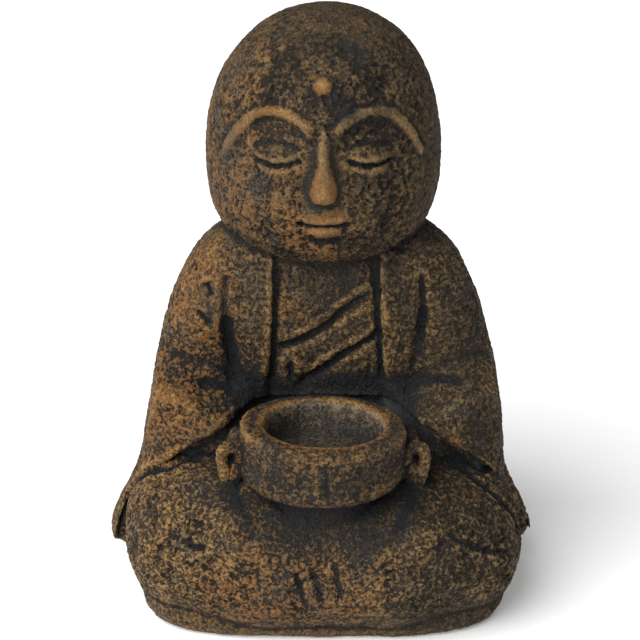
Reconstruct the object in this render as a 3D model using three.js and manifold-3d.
// A seated jizo figure of cast stone, all one piece: a large round head on a sloping robe, wide
// sleeves that end in a hem beside the knees, and two hands that hold a shallow bowl over the lap.
// Millimetres, +Z up. The figure looks along -Y, and the origin is the middle of the underside.

import * as THREE from "three";
import { mergeVertices } from "three/addons/utils/BufferGeometryUtils.js";
import Module from "manifold-3d";

const wasm = await Module();
wasm.setup();

// Driving dimensions
const STONE = { color: 0x5b4630, roughness: 0.85, metalness: 0 };

const PLINTH = { y: -3, halfWidth: 87.8, halfDepth: 69, height: 15, squareness: 3.8, edge: 2.5, groove: 1.2 };

const HEAD = {
  middle: new THREE.Vector3(0, 8, 211),
  halfWidth: 54,
  front: 49,
  back: 50,
  up: 68.3,
  down: 50,
  lean: 1.2,
  roundUp: 2.2,
  roundDown: 2.5,
  roundPlan: 2.15,
};

// The robe's level sections: height, half width, depth to the front and depth to the back.
const ROBE_SECTIONS = [
  { z: 15, halfWidth: 103, front: 14, back: 62 },
  { z: 22, halfWidth: 104.3, front: 15, back: 63 },
  { z: 30, halfWidth: 101.8, front: 16, back: 64 },
  { z: 41, halfWidth: 95.5, front: 17, back: 64 },
  { z: 53, halfWidth: 90.3, front: 17, back: 63 },
  { z: 65, halfWidth: 87, front: 17, back: 62 },
  { z: 88, halfWidth: 84.5, front: 15, back: 60 },
  { z: 117, halfWidth: 79, front: 18, back: 57 },
  { z: 137, halfWidth: 73.8, front: 20, back: 55 },
  { z: 155, halfWidth: 67, front: 22, back: 52 },
  { z: 167, halfWidth: 60, front: 22, back: 48 },
  { z: 175, halfWidth: 51, front: 19, back: 43 },
  { z: 180, halfWidth: 38, front: 14, back: 38 },
];
const ROBE_SQUARENESS = 2.5;
const ROBE_LEAN = { low: -1.6, high: 0.7 };
const [ROBE_COLUMNS, ROBE_ROWS] = [46, 24];
const SLEEVE = { depth: 27, inner: 40, outer: 101, topInner: 101, topOuter: 116, rise: 17 };
const SLEEVE_OPENING_DEPTH = 8;

// The sleeve's hem, seen from the front, from the wrist out to the corner that hangs beside the knee.
const HEM = [[33, 98], [47, 93], [60, 84.5], [71, 75.5], [80, 66.5], [88, 55.5], [94, 45], [98.5, 34], [101, 24], [103, 10]];

const COLLAR = { top: 170, bottom: 99, halfTop: 24, halfBottom: 28.5, depth: 3, middle: 1.5 };
const KNEE = { x: 54.4, y: -27, z: 35, halfWidth: 39.5, halfDepth: 47, halfHeight: 38, squareness: 2.4 };
const LAP = { y: -31, z: 34, halfWidth: 46, halfDepth: 50.5, halfHeight: 37.5, squareness: 4.6 };
const LAP_BLEND = 9;
const LAP_TUCK = { below: 32, share: 0.2 };

const BOWL = {
  x: 0,
  y: -54,
  rim: 102,
  radius: 37.5,
  opening: 27.5,
  floor: 88,
  floorRadius: 21.5,
  bottom: 76,
  footRadius: 26,
  foot: 50,
  narrowing: 0.92,
};
const HAND_RADIUS = 2.8;

// Where two forms meet, corners closer than this are drawn together.
const SLIVER = 0.12;

// Small helpers

const mix = (a, b, t) => a + (b - a) * t;
const smoothStep = (a, b, x) => THREE.MathUtils.smoothstep(x, a, b);
const bump = (x, z, cx, cz, sx, sz) => Math.exp(-(((x - cx) / sx) ** 2) - ((z - cz) / sz) ** 2);
const signedPower = (v, p) => Math.sign(v) * Math.abs(v) ** p;

/** A closed three.js geometry as a solid that can be joined and cut. Corners this close are one. */
function solid(geometry, closeness = 1e-4) {
  const bare = geometry.clone();
  bare.deleteAttribute("normal");
  bare.deleteAttribute("uv");
  const merged = mergeVertices(bare, closeness);
  const vertProperties = merged.getAttribute("position").array;
  const triVerts = [];
  for (let i = 0; i < merged.index.count; i += 3) {
    const [a, b, c] = merged.index.array.slice(i, i + 3);
    if (a !== b && b !== c && c !== a) triVerts.push(a, b, c);
  }
  const mesh = new wasm.Mesh({ numProp: 3, vertProperties, triVerts: new Uint32Array(triVerts) });
  const made = new wasm.Manifold(mesh);
  if (made.volume() < 0) throw new Error("a form is inside out");
  return made;
}

/** The solid's surface as a geometry for a mesh. */
function geometryOf(body) {
  const mesh = body.getMesh();
  const geometry = new THREE.BufferGeometry();
  geometry.setAttribute("position", new THREE.BufferAttribute(mesh.vertProperties, 3));
  geometry.setIndex(new THREE.BufferAttribute(mesh.triVerts, 1));
  return geometry;
}

/**
 * A closed form on the grid of a sphere. place(angle, t) gives a point: angle is measured in plan,
 * 0 at +X and -90 degrees at the front, and t runs from 0 at the top to 1 at the bottom.
 * crowd, from 0 to 1, draws the columns together at the front, where the carving is.
 */
function ringedForm(columns, rows, crowd, place) {
  const sphere = new THREE.SphereGeometry(1, columns, rows).rotateX(Math.PI / 2);
  const position = sphere.getAttribute("position");
  for (let i = 0; i < position.count; i++) {
    const column = i % (columns + 1);
    const row = Math.floor(i / (columns + 1));
    const fromFront = (column % columns) / columns * 2 * Math.PI - Math.PI;
    const angle = fromFront - crowd * Math.sin(fromFront) - Math.PI / 2;
    const point = place(angle, row / rows);
    position.setXYZ(i, point.x, point.y, point.z);
  }
  return solid(sphere);
}

/** A round bar along a smooth curve through the points, with its ends cut square. */
function bar(points, radius, steps, sides = 6) {
  const outline = new THREE.Shape();
  for (let i = 0; i < sides; i++) {
    const a = (i / sides) * 2 * Math.PI;
    if (i === 0) outline.moveTo(radius * Math.cos(a), radius * Math.sin(a));
    else outline.lineTo(radius * Math.cos(a), radius * Math.sin(a));
  }
  outline.closePath();
  const extrudePath = new THREE.CatmullRomCurve3(points);
  return solid(new THREE.ExtrudeGeometry(outline, { steps, extrudePath, curveSegments: 1 }));
}

/** A straight prism along Y between two depths, from an outline of [x, z] pairs. */
function prism(outline, yFront, yBack) {
  const shape = new THREE.Shape(outline.map(([x, z]) => new THREE.Vector2(x, z)));
  const block = new THREE.ExtrudeGeometry(shape, { depth: yBack - yFront, bevelEnabled: false });
  return solid(block.rotateX(Math.PI / 2).translate(0, yBack, 0));
}

// Head and face

/** How far the head's plain form shrinks at a height: 1 at its widest level, 0 at the crown. */
function headShare(z) {
  const up = z >= HEAD.middle.z;
  const share = Math.abs(z - HEAD.middle.z) / (up ? HEAD.up : HEAD.down);
  const round = up ? HEAD.roundUp : HEAD.roundDown;
  return Math.max(0, 1 - share ** round) ** (1 / round);
}

const EYE = { x: 20.5, z: 221, halfWidth: 11 };
const BROW_Z = 237;
const NOSE = { root: 233, tip: 203, halfRoot: 3.6, halfTip: 8.2, projection: 9.5 };
const MOUTH = { z: 190.5, halfWidth: 15 };
const CHIN_Z = 173;
const URNA = { z: 251, radius: 4 };

/** The face's soft relief over the plain form of the head: sockets, lids, cheeks, lips and chin. */
function faceRelief(x, z) {
  const side = Math.abs(x);
  const sockets = -3.2 * bump(side, z, EYE.x - 1, EYE.z + 6, 15, 9);
  const lids = 3.6 * bump(side, z, EYE.x, EYE.z + 1, EYE.halfWidth, 5.5);
  const cheeks = 2.2 * bump(side, z, 27, 200, 14, 13);
  const lips = 2.6 * bump(x, z, 0, MOUTH.z, 13, 6.5);
  const chin = 3 * bump(x, z, 0, CHIN_Z, 11, 7);
  return sockets + lids + cheeks + lips + chin;
}

/** The depth of the face at a place seen from the front. */
function faceY(x, z) {
  const share = headShare(z);
  const across = Math.min(1, Math.abs(x) / (HEAD.halfWidth * share));
  const plain = share * (1 - across ** HEAD.roundPlan) ** (1 / HEAD.roundPlan);
  return HEAD.middle.y - HEAD.front * plain - faceRelief(x, z);
}

function plainHead() {
  return ringedForm(40, 26, 0.45, (angle, t) => {
    // Rows crowd a little towards the face's level.
    const polar = Math.PI * (t + 0.05 * Math.sin(2 * Math.PI * t));
    const up = polar < Math.PI / 2;
    const round = up ? HEAD.roundUp : HEAD.roundDown;
    const z = HEAD.middle.z + (up ? HEAD.up : HEAD.down) * signedPower(Math.cos(polar), 2 / round);
    const share = Math.sin(polar) ** (2 / round);
    const x = HEAD.halfWidth * share * signedPower(Math.cos(angle), 2 / HEAD.roundPlan);
    const sine = signedPower(Math.sin(angle), 2 / HEAD.roundPlan);
    const y = HEAD.middle.y + (sine < 0 ? HEAD.front : HEAD.back) * share * sine;
    const facing = smoothStep(0.1, 0.6, -Math.sin(angle)) * share;
    const lean = HEAD.lean * smoothStep(HEAD.middle.z + 25, HEAD.middle.z + HEAD.up, z);
    return new THREE.Vector3(x + lean, y - facing * faceRelief(x, z), z);
  });
}

/** Points on the face, sunk by a depth, for a bar that is joined to it or cut from it. */
const onFace = (pairs, sunk) => pairs.map(([x, z]) => new THREE.Vector3(x, faceY(x, z) + sunk, z));

function nose() {
  const middle = mix(NOSE.root, NOSE.tip, 0.5);
  const rootY = faceY(0, NOSE.root);
  const tipY = faceY(0, NOSE.tip);
  return ringedForm(12, 9, 0.2, (angle, t) => {
    const down = (1 - Math.cos(Math.PI * t)) / 2;
    const z = mix(NOSE.root + 2, NOSE.tip - 2, down);
    const closing = t === 1 ? 0 : Math.sin(Math.PI * t) ** 0.35;
    const half = mix(NOSE.halfRoot, NOSE.halfTip, smoothStep(0.35, 0.95, down)) * closing;
    const out = mix(2.5, NOSE.projection, down ** 0.9) * closing;
    const y = mix(rootY, tipY, down) + 4;
    const x = half * Math.cos(angle);
    const depth = Math.sin(angle) < 0 ? out + 4 * closing : 2 * closing;
    return new THREE.Vector3(x, y + depth * Math.sin(angle), z);
  });
}

function face(head) {
  const mirrored = (pairs, side) => pairs.map(([x, z]) => [side * x, z]);
  let carved = head;
  for (const side of [-1, 1]) {
    const brow = [[4.5, 231], [9, 236], [18, BROW_Z + 3.5], [29, BROW_Z + 2], [39, 228], [43, 219]];
    carved = carved.add(bar(onFace(mirrored(brow, side), 0.4), 2.2, 11));
    const slit = [-1.12, -0.6, 0, 0.6, 1.12].map((s) => [EYE.x + s * EYE.halfWidth, EYE.z - 3.4 + 3.2 * s * s]);
    carved = carved.subtract(bar(onFace(mirrored(slit, side), -0.5), 1.3, 9));
  }
  carved = carved.add(nose());
  const smile = [-1, -0.55, 0, 0.55, 1].map((s) => [s * MOUTH.halfWidth, MOUTH.z + 2.4 * s * s]);
  carved = carved.subtract(bar(onFace(smile, -0.4), 1.3, 10));
  const urna = new THREE.SphereGeometry(URNA.radius, 9, 5);
  return carved.add(solid(urna.translate(0, faceY(0, URNA.z) + 1, URNA.z)));
}

// Robe, sleeves and collar

/** The robe's section at a height, on a smooth curve through the stated ones. */
function robeSection(z) {
  const s = ROBE_SECTIONS;
  let i = 0;
  while (i < s.length - 2 && z > s[i + 1].z) i++;
  const [before, low, high, after] = [s[Math.max(0, i - 1)], s[i], s[i + 1], s[Math.min(s.length - 1, i + 2)]];
  const span = high.z - low.z;
  const t = THREE.MathUtils.clamp((z - low.z) / span, 0, 1);
  const at = (key) => {
    const slopeLow = ((high[key] - before[key]) / (high.z - before.z)) * span;
    const slopeHigh = ((after[key] - low[key]) / (after.z - low.z)) * span;
    const [t2, t3] = [t * t, t * t * t];
    return (
      (2 * t3 - 3 * t2 + 1) * low[key] + (t3 - 2 * t2 + t) * slopeLow +
      (3 * t2 - 2 * t3) * high[key] + (t3 - t2) * slopeHigh
    );
  };
  return { halfWidth: at("halfWidth"), front: at("front"), back: at("back") };
}

/** The height at which a forearm begins to stand out from the chest. */
const forearmTop = (side) => mix(SLEEVE.topInner, SLEEVE.topOuter, smoothStep(30, 70, side));

/** How far a forearm and its sleeve stand out in front of the chest. */
function sleeveRelief(x, z) {
  const side = Math.abs(x);
  const out = THREE.MathUtils.clamp((side - SLEEVE.inner) / (SLEEVE.outer - SLEEVE.inner), 0, 1);
  const reach = SLEEVE.depth * Math.sqrt(1 - out ** 2.2) * smoothStep(27, 39, side);
  const below = THREE.MathUtils.clamp((forearmTop(side) - z) / SLEEVE.rise, 0, 1);
  return reach * Math.sin((below * Math.PI) / 2) ** 1.2;
}

/** The upper arm's swell beside the chest, and the hollow between the two. */
function armRelief(x, z) {
  const side = Math.abs(x);
  const swell = 4 * bump(side, z, 58, 138, 12, 26);
  return swell - 2.5 * bump(side, z, 43, 128, 4.5, 22);
}

/** The robe, drawn in on all sides by inset. */
function robe(inset) {
  const top = 182 - inset;
  const bottom = ROBE_SECTIONS[0].z;
  return ringedForm(ROBE_COLUMNS, ROBE_ROWS, 0.35, (angle, t) => {
    const closed = t === 0 || t === 1 ? 0 : 1;
    const power = 2 / ROBE_SQUARENESS;
    const level = mix(top, bottom, THREE.MathUtils.clamp((t * ROBE_ROWS - 1) / (ROBE_ROWS - 2), 0, 1));
    // The rows rise and fall with the upper edge of the forearm, so that no row crosses it.
    const slant = forearmTop(82 * Math.abs(Math.cos(angle)) ** power) - SLEEVE.topOuter + 6;
    const z = level + closed * slant * Math.exp(-(((level - 104) / 24) ** 2));
    const s = robeSection(Math.min(z + inset * 0.4, 180));
    const lean = mix(ROBE_LEAN.low, ROBE_LEAN.high, smoothStep(45, 95, z));
    const x = (s.halfWidth - inset) * signedPower(Math.cos(angle), power) * closed + lean;
    const sine = signedPower(Math.sin(angle), power) * closed;
    const facing = smoothStep(0.02, 0.35, -sine) * closed;
    const relief = facing * (sleeveRelief(x, z) + armRelief(x, z));
    const y = sine * ((sine < 0 ? s.front : s.back) - inset) - relief;
    return new THREE.Vector3(x, y, z);
  });
}

/** The depth of the robe's front at a place seen from the front. */
function robeY(x, z) {
  const s = robeSection(z);
  const across = Math.min(1, Math.abs(x) / s.halfWidth) ** ROBE_SQUARENESS;
  return -s.front * (1 - across) ** (1 / ROBE_SQUARENESS) - sleeveRelief(x, z) - armRelief(x, z);
}

/** Below the hems the robe is cut back to its inner layer, which leaves each sleeve standing out. */
function openSleeves(outer, inner) {
  const curve = new THREE.SplineCurve(HEM.map(([x, z]) => new THREE.Vector2(x, z)));
  const right = curve.getPoints(16).map((p) => [p.x, p.y]);
  const left = right.map(([x, z]) => [-x, z]).reverse();
  return outer.subtract(prism([...left, ...right], -90, 4).subtract(inner));
}

/** The flat panel between the two edges of the collar, with its slanting folds. */
function collarPanel(outer, inner) {
  const { top, bottom, halfTop, halfBottom, middle } = COLLAR;
  const outline = [
    [middle - halfTop, top + 12],
    [middle - halfBottom, bottom - 4],
    [middle + halfBottom, bottom - 4],
    [middle + halfTop, top + 12],
  ];
  return outer.subtract(prism(outline, -60, 0).subtract(inner));
}

/** Grooves along the robe's front, sunk so that each is a shallow furrow. */
function furrow(pairs, radius, sunk, steps) {
  return bar(pairs.map(([x, z]) => new THREE.Vector3(x, robeY(x, z) + sunk, z)), radius, steps);
}

function collarFolds(body) {
  const folds = [
    [[-23, 124], [-13, 126.5], [-5, 130], [2, 135], [10, 142], [18, 146], [28, 153]],
    [[-9, 129], [-4, 138], [2, 143]],
    [[-12, 106], [-4, 111], [4, 115], [10.5, 120], [17, 126], [28, 132]],
  ];
  return folds.reduce((cut, fold) => cut.subtract(furrow(fold, 1.9, COLLAR.depth - 0.6, 10)), body);
}

function armHollows(body) {
  let cut = body;
  for (const side of [-1, 1]) {
    const line = [[45, 160], [45.5, 146], [44.5, 130], [41, 112]].map(([x, z]) => [side * x, z]);
    cut = cut.subtract(furrow(line, 2.4, -0.6, 8));
  }
  return cut;
}

// Lap and plinth

/** Below 0 inside a squared ellipsoid, and about the distance from it in millimetres outside. */
function ellipsoidField(point, middle, half, squareness) {
  const [x, y, z] = ["x", "y", "z"].map((axis) => Math.abs(point[axis] - middle[axis]) / half[axis]);
  const share = (x ** squareness + y ** squareness + z ** squareness) ** (1 / squareness);
  return (share - 1) * Math.min(half.x, half.y, half.z);
}

/** The two knees and the lap between them, blended into one soft form. */
function lapField(place) {
  const tuck = 1 + LAP_TUCK.share * Math.max(0, (LAP_TUCK.below - place.z) / LAP_TUCK.below) ** 2;
  const point = new THREE.Vector3(place.x * mix(1, tuck, 0.15), place.y * tuck, place.z);
  const kneeHalf = new THREE.Vector3(KNEE.halfWidth, KNEE.halfDepth, KNEE.halfHeight);
  const lapHalf = new THREE.Vector3(LAP.halfWidth, LAP.halfDepth, LAP.halfHeight);
  const parts = [
    ellipsoidField(point, new THREE.Vector3(-KNEE.x, KNEE.y, KNEE.z + 1.5), kneeHalf, KNEE.squareness),
    ellipsoidField(point, new THREE.Vector3(KNEE.x, KNEE.y, KNEE.z - 2), kneeHalf, KNEE.squareness),
    ellipsoidField(point, new THREE.Vector3(0, LAP.y, LAP.z), lapHalf, LAP.squareness),
  ];
  return -LAP_BLEND * Math.log(parts.reduce((sum, d) => sum + Math.exp(-d / LAP_BLEND), 0));
}

function lap() {
  const middle = new THREE.Vector3(0, -24, 24);
  const whole = ringedForm(38, 17, 0.25, (angle, t) => {
    const polar = Math.PI * t;
    const way = new THREE.Vector3(
      Math.cos(angle) * Math.sin(polar),
      Math.sin(angle) * Math.sin(polar),
      Math.cos(polar),
    );
    let [near, far] = [0, 160];
    for (let i = 0; i < 30; i++) {
      const half = (near + far) / 2;
      if (lapField(middle.clone().addScaledVector(way, half)) < 0) near = half;
      else far = half;
    }
    return middle.clone().addScaledVector(way, near);
  });
  const ground = new THREE.BoxGeometry(400, 400, 100).translate(0, 0, -50 + PLINTH.height / 2);
  return whole.subtract(solid(ground));
}

/** The low slab under the figure, its bottom edge rounded and a groove round its top. */
function plinth() {
  const { y: middle, halfWidth, halfDepth, height, squareness, edge, groove } = PLINTH;
  const rings = [[height, groove + 1], [height - 1.4, groove], [height - 2.8, 0], [edge, 0]];
  for (const turn of [30, 60, 90]) {
    const a = THREE.MathUtils.degToRad(turn);
    rings.push([edge * (1 - Math.sin(a)), edge * (1 - Math.cos(a))]);
  }
  const rows = rings.length + 1;
  return ringedForm(40, rows, 0, (angle, t) => {
    const row = Math.round(t * rows);
    const [z, inset] = rings[THREE.MathUtils.clamp(row - 1, 0, rings.length - 1)];
    const closed = row === 0 || row === rows ? 0 : 1;
    const power = 2 / squareness;
    const x = (halfWidth - inset) * signedPower(Math.cos(angle), power) * closed;
    const y = middle + (halfDepth - inset) * signedPower(Math.sin(angle), power) * closed;
    return new THREE.Vector3(x, y, z);
  });
}

// Bowl and hands

/** A turned form about the bowl's upright axis, drawn a little narrower from front to back. */
function turned(profile) {
  const lathe = new THREE.LatheGeometry(profile.map(([r, z]) => new THREE.Vector2(r, z)), 26);
  return solid(lathe.rotateX(Math.PI / 2).scale(1, BOWL.narrowing, 1).translate(BOWL.x, BOWL.y, 0));
}

function bowlOutside() {
  const { rim, radius, bottom, footRadius, foot } = BOWL;
  return turned([
    [0, foot],
    [footRadius, foot],
    [footRadius, bottom - 4],
    [radius - 6, bottom - 1.2],
    [radius - 4, bottom],
    [radius - 2.6, bottom + 2.5],
    [radius - 0.6, mix(bottom, rim, 0.4)],
    [radius, rim - 4],
    [radius - 0.9, rim - 1],
    [radius - 2.6, rim],
    [0, rim],
  ]);
}

/** The hollow with its flat floor, run up past the rim so that it also clears what stands over it. */
function bowlHollow() {
  const { rim, opening, floor, floorRadius } = BOWL;
  return turned([
    [0, floor],
    [floorRadius, floor],
    [mix(floorRadius, opening, 0.45), mix(floor, rim, 0.12)],
    [mix(floorRadius, opening, 0.8), mix(floor, rim, 0.5)],
    [opening, rim - 1],
    [opening + 1.2, rim + 0.2],
    [opening + 1.2, rim + 6],
    [0, rim + 6],
  ]);
}

/** The edge of one hand: a thick bar that hooks over the bowl's side, with the palm behind it. */
function hand(side) {
  const offset = BOWL.x + side * BOWL.radius;
  const hook = [[-1.5, 86], [1.5, 92], [5, 94], [8, 89.5], [7.5, 82], [5.5, 74.5], [2, 68.5], [-2, 65]];
  const points = hook.map(([out, z]) => new THREE.Vector3(offset + side * out, -60 + (93 - z) * 0.12, z));
  const palm = new THREE.SphereGeometry(1, 10, 7).scale(7.5, 17, 16);
  palm.translate(offset + side * 1.5, -44, 79);
  return bar(points, HAND_RADIUS, 14, 6).add(solid(palm));
}

// Put together, with the bowl's hollow cut last so that nothing stands in it.
const openRobe = openSleeves(robe(0), robe(SLEEVE_OPENING_DEPTH));
const carvedRobe = collarFolds(armHollows(collarPanel(openRobe, robe(COLLAR.depth))));
const statueBody = carvedRobe
  .add(lap())
  .add(plinth())
  .add(face(plainHead()))
  .add(bowlOutside())
  .add(hand(-1))
  .add(hand(1))
  .subtract(bowlHollow());
const cleanBody = solid(geometryOf(statueBody), SLIVER);

const statue = new THREE.Mesh(geometryOf(cleanBody), new THREE.MeshStandardMaterial(STONE));
statue.name = "statue";

const figure = new THREE.Group();
figure.add(statue);

export default figure;
